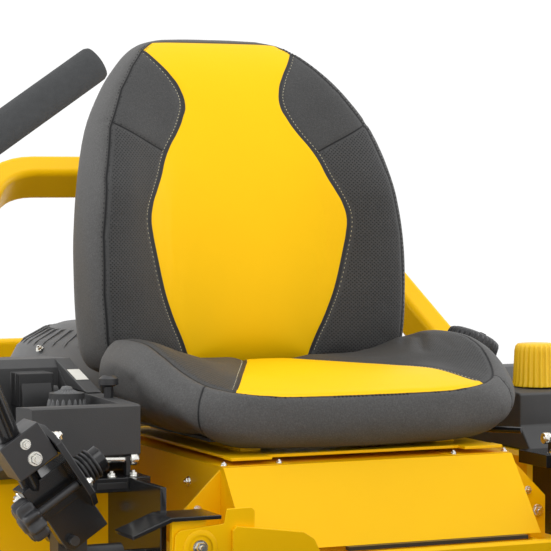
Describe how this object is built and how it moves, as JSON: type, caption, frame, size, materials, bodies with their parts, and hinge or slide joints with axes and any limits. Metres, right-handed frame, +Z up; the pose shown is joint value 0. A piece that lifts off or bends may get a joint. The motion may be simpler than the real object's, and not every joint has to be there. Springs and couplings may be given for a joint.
{
  "type": "zero turn mower",
  "caption": "Ride-on zero turn mower with a cushioned seat, swing-out lap bars, a side-discharge cutting deck, front casters and a rear engine.",
  "frame": {"origin": "centre of the bounding box's footprint, on the ground", "axes": "+Y towards the machine's rear, along its length; +Z up; +X to the operator's left"},
  "size_m": [1.5272, 1.808, 1.064],
  "materials": {
    "mat_frame_rail_right": "gloss powder coat",
    "mat_frame_rail_left": "gloss powder coat",
    "mat_front_axle_beam": "gloss powder coat",
    "mat_rear_guard_rail": "gloss powder coat",
    "mat_rear_hoop": "gloss powder coat",
    "mat_engine_plate": "gloss powder coat",
    "mat_floor_pan": "gloss powder coat",
    "mat_seat_box": "gloss powder coat",
    "mat_fender_right": "fine moulded grain",
    "mat_fender_left": "fine moulded grain",
    "mat_engine_crankcase": "cast",
    "mat_blower_housing": "satin moulded",
    "mat_air_cleaner": "fine moulded grain",
    "mat_muffler": "gloss powder coat",
    "mat_oil_filter": "gloss powder coat",
    "mat_transaxle_right": "cast",
    "mat_transaxle_left": "cast",
    "mat_lever_base_right": "gloss powder coat",
    "mat_lever_base_left": "gloss powder coat",
    "mat_engine_clutch": "zinc plated",
    "mat_deck_shell": "gloss powder coat",
    "mat_belt_cover_right": "fine moulded grain",
    "mat_belt_cover_left": "fine moulded grain",
    "mat_deck_belt": "matte rubber",
    "mat_drive_belt": "matte rubber",
    "mat_discharge_chute": "fine moulded grain",
    "mat_deck_lift_pedal": "gloss powder coat",
    "mat_height_dial": "satin moulded",
    "mat_pto_knob": "satin moulded",
    "mat_throttle_lever": "fine moulded grain",
    "mat_ignition_key": "fine moulded grain",
    "mat_fuel_cap": "fine moulded grain",
    "mat_seat_hinge_plate": "gloss powder coat",
    "mat_seat_pan": "gloss powder coat",
    "mat_seat_cushion": "embossed vinyl",
    "mat_seat_back": "embossed vinyl",
    "mat_seat_slide_lever": "gloss powder coat",
    "mat_control_arm_right": "gloss powder coat",
    "mat_lap_bar_right": "gloss powder coat",
    "mat_lap_grip_right": "matte foam",
    "mat_lever_knob_right": "fine moulded grain",
    "mat_rear_tyre_right": "matte rubber",
    "mat_rear_rim_right": "gloss powder coat",
    "mat_caster_fork_right": "gloss powder coat",
    "mat_caster_tyre_right": "matte rubber",
    "mat_caster_rim_right": "gloss powder coat",
    "mat_gauge_wheel_right": "fine moulded grain",
    "mat_control_arm_left": "gloss powder coat",
    "mat_lap_bar_left": "gloss powder coat",
    "mat_lap_grip_left": "matte foam",
    "mat_lever_knob_left": "fine moulded grain",
    "mat_rear_tyre_left": "matte rubber",
    "mat_rear_rim_left": "gloss powder coat",
    "mat_caster_fork_left": "gloss powder coat",
    "mat_caster_tyre_left": "matte rubber",
    "mat_caster_rim_left": "gloss powder coat",
    "mat_gauge_wheel_left": "fine moulded grain",
    "mat_blade_centre": "zinc plated",
    "mat_blade_right": "zinc plated",
    "mat_blade_left": "zinc plated"
  },
  "bodies": {
    "chassis": {"frame_rail_right": "mat_frame_rail_right", "frame_rail_left": "mat_frame_rail_left", "front_axle_beam": "mat_front_axle_beam", "rear_guard_rail": "mat_rear_guard_rail", "rear_hoop": "mat_rear_hoop", "engine_plate": "mat_engine_plate", "floor_pan": "mat_floor_pan", "seat_box": "mat_seat_box", "fender_right": "mat_fender_right", "fender_left": "mat_fender_left", "engine_crankcase": "mat_engine_crankcase", "blower_housing": "mat_blower_housing", "air_cleaner": "mat_air_cleaner", "muffler": "mat_muffler", "oil_filter": "mat_oil_filter", "transaxle_right": "mat_transaxle_right", "transaxle_left": "mat_transaxle_left", "lever_base_right": "mat_lever_base_right", "lever_base_left": "mat_lever_base_left"},
    "clutch": {"engine_clutch": "mat_engine_clutch"},
    "deck": {"deck_shell": "mat_deck_shell", "belt_cover_right": "mat_belt_cover_right", "belt_cover_left": "mat_belt_cover_left", "deck_belt": "mat_deck_belt", "drive_belt": "mat_drive_belt"},
    "chute": {"discharge_chute": "mat_discharge_chute"},
    "lift_pedal": {"deck_lift_pedal": "mat_deck_lift_pedal"},
    "dial": {"height_dial": "mat_height_dial"},
    "blade_switch": {"pto_knob": "mat_pto_knob"},
    "throttle": {"throttle_lever": "mat_throttle_lever"},
    "key": {"ignition_key": "mat_ignition_key"},
    "filler_cap": {"fuel_cap": "mat_fuel_cap"},
    "seat_tilt": {"seat_hinge_plate": "mat_seat_hinge_plate"},
    "seat": {"seat_pan": "mat_seat_pan", "seat_cushion": "mat_seat_cushion", "seat_back": "mat_seat_back"},
    "seat_release": {"seat_slide_lever": "mat_seat_slide_lever"},
    "drive_arm_right": {"control_arm_right": "mat_control_arm_right"},
    "lap_bar_right": {"lap_bar_right": "mat_lap_bar_right", "lap_grip_right": "mat_lap_grip_right"},
    "reach_knob_right": {"lever_knob_right": "mat_lever_knob_right"},
    "rear_wheel_right": {"rear_tyre_right": "mat_rear_tyre_right", "rear_rim_right": "mat_rear_rim_right"},
    "caster_right": {"caster_fork_right": "mat_caster_fork_right"},
    "caster_wheel_right": {"caster_tyre_right": "mat_caster_tyre_right", "caster_rim_right": "mat_caster_rim_right"},
    "gauge_wheel_right": {"gauge_wheel_right": "mat_gauge_wheel_right"},
    "drive_arm_left": {"control_arm_left": "mat_control_arm_left"},
    "lap_bar_left": {"lap_bar_left": "mat_lap_bar_left", "lap_grip_left": "mat_lap_grip_left"},
    "reach_knob_left": {"lever_knob_left": "mat_lever_knob_left"},
    "rear_wheel_left": {"rear_tyre_left": "mat_rear_tyre_left", "rear_rim_left": "mat_rear_rim_left"},
    "caster_left": {"caster_fork_left": "mat_caster_fork_left"},
    "caster_wheel_left": {"caster_tyre_left": "mat_caster_tyre_left", "caster_rim_left": "mat_caster_rim_left"},
    "gauge_wheel_left": {"gauge_wheel_left": "mat_gauge_wheel_left"},
    "blade_centre": {"blade_centre": "mat_blade_centre"},
    "blade_right": {"blade_right": "mat_blade_right"},
    "blade_left": {"blade_left": "mat_blade_left"}
  },
  "joints": [
    {"name": "drive_right", "type": "hinge", "parent": "chassis", "child": "drive_arm_right", "pos_m": [-0.2656, -0.241, 0.4], "axis": [1, 0, 0], "range_deg": [-8, 16]},
    {"name": "swing_in_right", "type": "hinge", "parent": "drive_arm_right", "child": "lap_bar_right", "pos_m": [-0.3156, -0.241, 0.43], "axis": [0, 1, 0], "range_deg": [0, 34]},
    {"name": "reach_knob_turn_right", "type": "hinge", "parent": "lap_bar_right", "child": "reach_knob_right", "pos_m": [-0.36157, -0.298, 0.46775], "axis": [-0.829, 0, -0.5592], "continuous": true},
    {"name": "rear_wheel_spin_right", "type": "hinge", "parent": "chassis", "child": "rear_wheel_right", "pos_m": [-0.3426, 0.424, 0.254], "axis": [1, 0, 0], "continuous": true},
    {"name": "caster_swivel_right", "type": "hinge", "parent": "chassis", "child": "caster_right", "pos_m": [-0.3256, -0.796, 0.3], "axis": [0, 0, 1], "continuous": true},
    {"name": "caster_spin_right", "type": "hinge", "parent": "caster_right", "child": "caster_wheel_right", "pos_m": [-0.3256, -0.741, 0.14], "axis": [1, 0, 0], "continuous": true},
    {"name": "gauge_spin_right", "type": "hinge", "parent": "deck", "child": "gauge_wheel_right", "pos_m": [-0.3926, -0.486, 0.108], "axis": [1, 0, 0], "continuous": true},
    {"name": "drive_left", "type": "hinge", "parent": "chassis", "child": "drive_arm_left", "pos_m": [0.4744, -0.241, 0.4], "axis": [1, 0, 0], "range_deg": [-8, 16]},
    {"name": "swing_in_left", "type": "hinge", "parent": "drive_arm_left", "child": "lap_bar_left", "pos_m": [0.5244, -0.241, 0.43], "axis": [0, -1, 0], "range_deg": [0, 34]},
    {"name": "reach_knob_turn_left", "type": "hinge", "parent": "lap_bar_left", "child": "reach_knob_left", "pos_m": [0.57037, -0.298, 0.46775], "axis": [0.829, 0, -0.5592], "continuous": true},
    {"name": "rear_wheel_spin_left", "type": "hinge", "parent": "chassis", "child": "rear_wheel_left", "pos_m": [0.5514, 0.424, 0.254], "axis": [1, 0, 0], "continuous": true},
    {"name": "caster_swivel_left", "type": "hinge", "parent": "chassis", "child": "caster_left", "pos_m": [0.5344, -0.796, 0.3], "axis": [0, 0, 1], "continuous": true},
    {"name": "caster_spin_left", "type": "hinge", "parent": "caster_left", "child": "caster_wheel_left", "pos_m": [0.5344, -0.741, 0.14], "axis": [1, 0, 0], "continuous": true},
    {"name": "gauge_spin_left", "type": "hinge", "parent": "deck", "child": "gauge_wheel_left", "pos_m": [0.6014, -0.486, 0.108], "axis": [1, 0, 0], "continuous": true},
    {"name": "deck_lift", "type": "slide", "parent": "chassis", "child": "deck", "axis": [0, 0, 1], "range_m": [-0.025, 0.05]},
    {"name": "lift_pedal_push", "type": "hinge", "parent": "chassis", "child": "lift_pedal", "pos_m": [-0.0956, -0.516, 0.412], "axis": [1, 0, 0], "range_deg": [-7.5, 15]},
    {"name": "blade_spin_centre", "type": "hinge", "parent": "deck", "child": "blade_centre", "pos_m": [0.1044, -0.331, 0.1], "axis": [0, 0, 1], "continuous": true},
    {"name": "blade_spin_right", "type": "hinge", "parent": "deck", "child": "blade_right", "pos_m": [-0.3206, -0.196, 0.1], "axis": [0, 0, 1], "continuous": true},
    {"name": "blade_spin_left", "type": "hinge", "parent": "deck", "child": "blade_left", "pos_m": [0.5294, -0.196, 0.1], "axis": [0, 0, 1], "continuous": true},
    {"name": "clutch_spin", "type": "hinge", "parent": "chassis", "child": "clutch", "pos_m": [0.1044, 0.604, 0.3], "axis": [0, 0, 1], "continuous": true},
    {"name": "chute_lift", "type": "hinge", "parent": "deck", "child": "chute", "pos_m": [-0.5676, -0.196, 0.186], "axis": [0, 1, 0], "range_deg": [0, 80]},
    {"name": "height_dial_turn", "type": "hinge", "parent": "chassis", "child": "dial", "pos_m": [0.4814, -0.001, 0.5645], "axis": [0, 0, 1], "range_deg": [-135, 135]},
    {"name": "blade_switch_pull", "type": "slide", "parent": "chassis", "child": "blade_switch", "axis": [0, 0, 1], "range_m": [0, 0.012]},
    {"name": "throttle_push", "type": "hinge", "parent": "chassis", "child": "throttle", "pos_m": [0.6194, 0.024, 0.568], "axis": [1, 0, 0], "range_deg": [-20, 30]},
    {"name": "key_turn", "type": "hinge", "parent": "chassis", "child": "key", "pos_m": [0.5794, 0.004, 0.568], "axis": [0, 0, 1], "range_deg": [0, 90]},
    {"name": "filler_cap_turn", "type": "hinge", "parent": "chassis", "child": "filler_cap", "pos_m": [0.4494, 0.144, 0.605], "axis": [0.4067, 0, 0.9135], "continuous": true},
    {"name": "seat_tip", "type": "hinge", "parent": "chassis", "child": "seat_tilt", "pos_m": [0.1044, -0.218, 0.5125], "axis": [1, 0, 0], "range_deg": [0, 45]},
    {"name": "seat_reach", "type": "slide", "parent": "seat_tilt", "child": "seat", "axis": [0, 1, 0], "range_m": [-0.02, 0.015]},
    {"name": "seat_release_push", "type": "hinge", "parent": "seat_tilt", "child": "seat_release", "pos_m": [0.2694, -0.126, 0.5205], "axis": [0, 0, 1], "range_deg": [0, 15], "stiffness_Nm_per_rad": 0.5}
  ],
  "couplings": [
    {"joint": "blade_spin_right", "follows": "blade_spin_centre", "ratio": 1},
    {"joint": "blade_spin_left", "follows": "blade_spin_centre", "ratio": 1},
    {"joint": "clutch_spin", "follows": "blade_spin_centre", "ratio": 0.9},
    {"joint": "lift_pedal_push", "follows": "deck_lift", "rad_per_m": 5.236}
  ]
}
